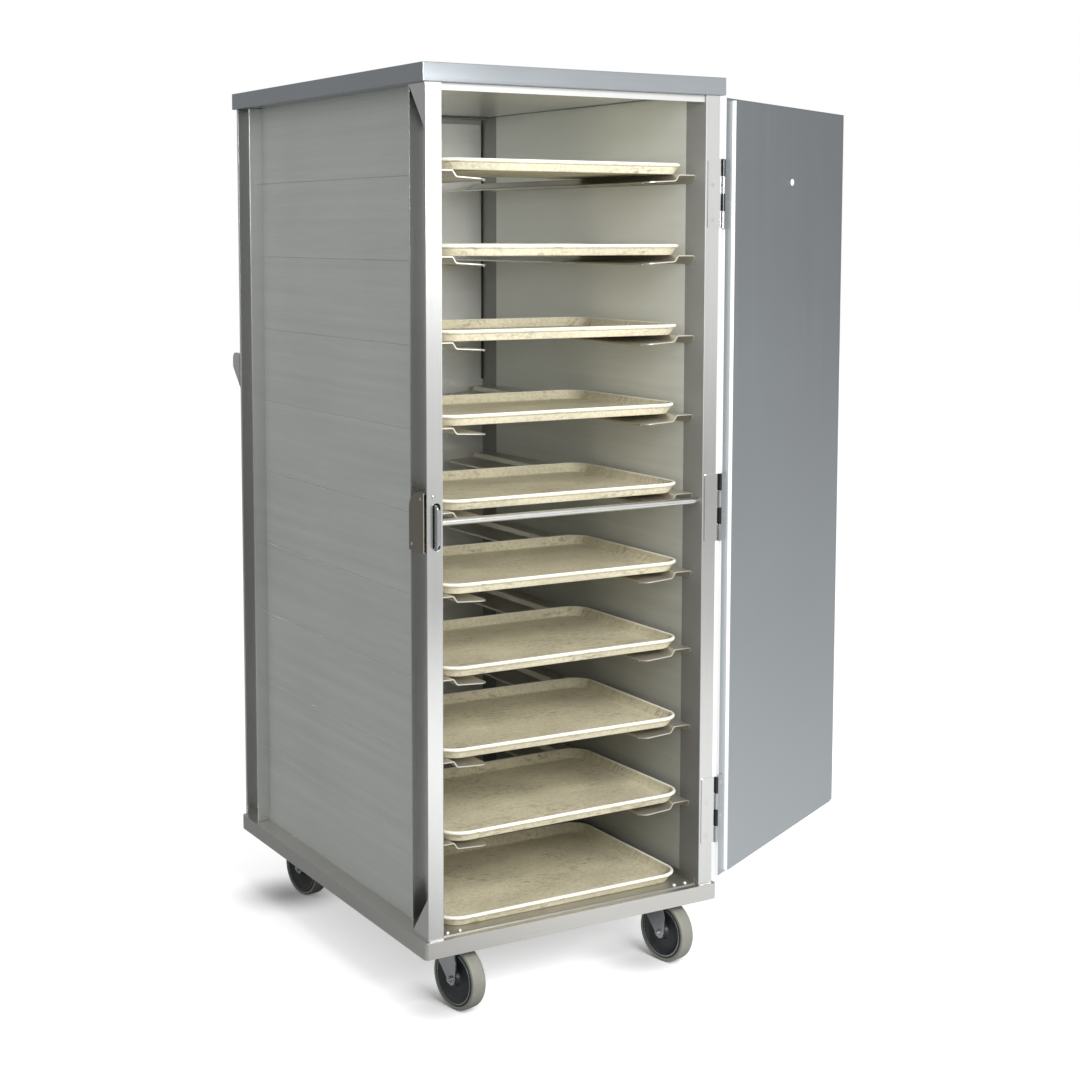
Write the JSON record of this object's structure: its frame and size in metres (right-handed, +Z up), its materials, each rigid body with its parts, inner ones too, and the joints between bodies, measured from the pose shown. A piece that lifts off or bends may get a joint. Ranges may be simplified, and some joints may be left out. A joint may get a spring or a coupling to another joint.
{
  "type": "enclosed meal tray cart",
  "caption": "Enclosed aluminium meal tray cart on swivel casters, with a side-hinged door, bent sheet ledges, pull-out trays, a slide latch and a push handle.",
  "frame": {"origin": "on the floor, under the middle of the whole outline with the door standing open as in the picture; the cabinet's own centre is to the left of it and a little forward", "axes": "+Z up, +Y from the door opening towards the back wall and push handle, +X to the right when facing the door opening, the side that the door is hinged on"},
  "size_m": [1.2446, 0.9884, 1.8235],
  "materials": {
    "panel_aluminium": "mill sheet with a fine streaked grain",
    "frame_aluminium": "satin, brushed along its length",
    "ledge_aluminium": "mill sheet, dulled by use",
    "door_aluminium": "satin sheet with faint scratches",
    "tray_fibreglass": "worn moulded fibreglass with a pale rim",
    "polished_steel": "bright drawn rod",
    "hinge_steel": "satin stainless",
    "latch_steel": "dull pressed steel",
    "plated_steel": "bright zinc plate",
    "caster_rubber": "grey tread on a dark moulded hub"
  },
  "bodies": {
    "cabinet": {"base_frame": "frame_aluminium", "floor_pan": "panel_aluminium", "front_frame": "frame_aluminium", "rear_frame": "frame_aluminium", "side_wall_left": "panel_aluminium", "side_wall_right": "panel_aluminium", "back_wall": "panel_aluminium", "top_cap": "frame_aluminium", "ceiling_panel": "panel_aluminium", "tie_rod": "polished_steel", "push_handle": "frame_aluminium", "ledge_left_1": "ledge_aluminium", "ledge_left_2": "ledge_aluminium", "ledge_left_3": "ledge_aluminium", "ledge_left_4": "ledge_aluminium", "ledge_left_5": "ledge_aluminium", "ledge_left_6": "ledge_aluminium", "ledge_left_7": "ledge_aluminium", "ledge_left_8": "ledge_aluminium", "ledge_left_9": "ledge_aluminium", "ledge_right_1": "ledge_aluminium", "ledge_right_2": "ledge_aluminium", "ledge_right_3": "ledge_aluminium", "ledge_right_4": "ledge_aluminium", "ledge_right_5": "ledge_aluminium", "ledge_right_6": "ledge_aluminium", "ledge_right_7": "ledge_aluminium", "ledge_right_8": "ledge_aluminium", "ledge_right_9": "ledge_aluminium", "hinge_top_frame_leaf": "hinge_steel", "hinge_middle_frame_leaf": "hinge_steel", "hinge_bottom_frame_leaf": "hinge_steel", "latch_case": "latch_steel", "caster_front_left_plate": "plated_steel", "caster_front_right_plate": "plated_steel", "caster_rear_left_plate": "plated_steel", "caster_rear_right_plate": "plated_steel"},
    "door": {"door_panel": "door_aluminium", "hinge_top_door_leaf": "hinge_steel", "hinge_middle_door_leaf": "hinge_steel", "hinge_bottom_door_leaf": "hinge_steel"},
    "latch": {"latch_bolt": "hinge_steel"},
    "tray_1": {"tray_1": "tray_fibreglass"},
    "tray_2": {"tray_2": "tray_fibreglass"},
    "tray_3": {"tray_3": "tray_fibreglass"},
    "tray_4": {"tray_4": "tray_fibreglass"},
    "tray_5": {"tray_5": "tray_fibreglass"},
    "tray_6": {"tray_6": "tray_fibreglass"},
    "tray_7": {"tray_7": "tray_fibreglass"},
    "tray_8": {"tray_8": "tray_fibreglass"},
    "tray_9": {"tray_9": "tray_fibreglass"},
    "tray_10": {"tray_10": "tray_fibreglass"},
    "caster_front_left_swivel": {"caster_front_left_fork": "plated_steel"},
    "caster_front_left_roller": {"caster_front_left_wheel": "caster_rubber"},
    "caster_front_right_swivel": {"caster_front_right_fork": "plated_steel"},
    "caster_front_right_roller": {"caster_front_right_wheel": "caster_rubber"},
    "caster_rear_left_swivel": {"caster_rear_left_fork": "plated_steel"},
    "caster_rear_left_roller": {"caster_rear_left_wheel": "caster_rubber"},
    "caster_rear_right_swivel": {"caster_rear_right_fork": "plated_steel"},
    "caster_rear_right_roller": {"caster_rear_right_wheel": "caster_rubber"}
  },
  "joints": [
    {"name": "door_hinge", "type": "hinge", "parent": "cabinet", "child": "door", "pos_m": [0.05702, -0.4808, 0.977], "axis": [0, 0, 1], "range_deg": [-208.5, 61.5]},
    {"name": "latch_slide", "type": "slide", "parent": "cabinet", "child": "latch", "axis": [1, 0, 0], "range_m": [0, 0.008]},
    {"name": "tray_1_slide", "type": "slide", "parent": "cabinet", "child": "tray_1", "axis": [0, -1, 0], "range_m": [0, 0.4]},
    {"name": "tray_2_slide", "type": "slide", "parent": "cabinet", "child": "tray_2", "axis": [0, -1, 0], "range_m": [0, 0.4]},
    {"name": "tray_3_slide", "type": "slide", "parent": "cabinet", "child": "tray_3", "axis": [0, -1, 0], "range_m": [0, 0.4]},
    {"name": "tray_4_slide", "type": "slide", "parent": "cabinet", "child": "tray_4", "axis": [0, -1, 0], "range_m": [0, 0.4]},
    {"name": "tray_5_slide", "type": "slide", "parent": "cabinet", "child": "tray_5", "axis": [0, -1, 0], "range_m": [0, 0.4]},
    {"name": "tray_6_slide", "type": "slide", "parent": "cabinet", "child": "tray_6", "axis": [0, -1, 0], "range_m": [0, 0.4]},
    {"name": "tray_7_slide", "type": "slide", "parent": "cabinet", "child": "tray_7", "axis": [0, -1, 0], "range_m": [0, 0.4]},
    {"name": "tray_8_slide", "type": "slide", "parent": "cabinet", "child": "tray_8", "axis": [0, -1, 0], "range_m": [0, 0.4]},
    {"name": "tray_9_slide", "type": "slide", "parent": "cabinet", "child": "tray_9", "axis": [0, -1, 0], "range_m": [0, 0.4]},
    {"name": "tray_10_slide", "type": "slide", "parent": "cabinet", "child": "tray_10", "axis": [0, -1, 0], "range_m": [0, 0.4]},
    {"name": "caster_front_left_swivel", "type": "hinge", "parent": "cabinet", "child": "caster_front_left_swivel", "pos_m": [-0.52768, -0.3888, 0.141], "axis": [0, 0, 1], "continuous": true},
    {"name": "caster_front_left_spin", "type": "hinge", "parent": "caster_front_left_swivel", "child": "caster_front_left_roller", "pos_m": [-0.5201, -0.43011, 0.0635], "axis": [0.9836, 0.1805, 0], "continuous": true},
    {"name": "caster_front_right_swivel", "type": "hinge", "parent": "cabinet", "child": "caster_front_right_swivel", "pos_m": [-0.03688, -0.3888, 0.141], "axis": [0, 0, 1], "continuous": true},
    {"name": "caster_front_right_spin", "type": "hinge", "parent": "caster_front_right_swivel", "child": "caster_front_right_roller", "pos_m": [-0.0293, -0.43011, 0.0635], "axis": [0.9836, 0.1805, 0], "continuous": true},
    {"name": "caster_rear_left_swivel", "type": "hinge", "parent": "cabinet", "child": "caster_rear_left_swivel", "pos_m": [-0.52768, 0.3572, 0.141], "axis": [0, 0, 1], "continuous": true},
    {"name": "caster_rear_left_spin", "type": "hinge", "parent": "caster_rear_left_swivel", "child": "caster_rear_left_roller", "pos_m": [-0.5201, 0.31589, 0.0635], "axis": [0.9836, 0.1805, 0], "continuous": true},
    {"name": "caster_rear_right_swivel", "type": "hinge", "parent": "cabinet", "child": "caster_rear_right_swivel", "pos_m": [-0.03688, 0.3572, 0.141], "axis": [0, 0, 1], "continuous": true},
    {"name": "caster_rear_right_spin", "type": "hinge", "parent": "caster_rear_right_swivel", "child": "caster_rear_right_roller", "pos_m": [-0.0293, 0.31589, 0.0635], "axis": [0.9836, 0.1805, 0], "continuous": true}
  ]
}
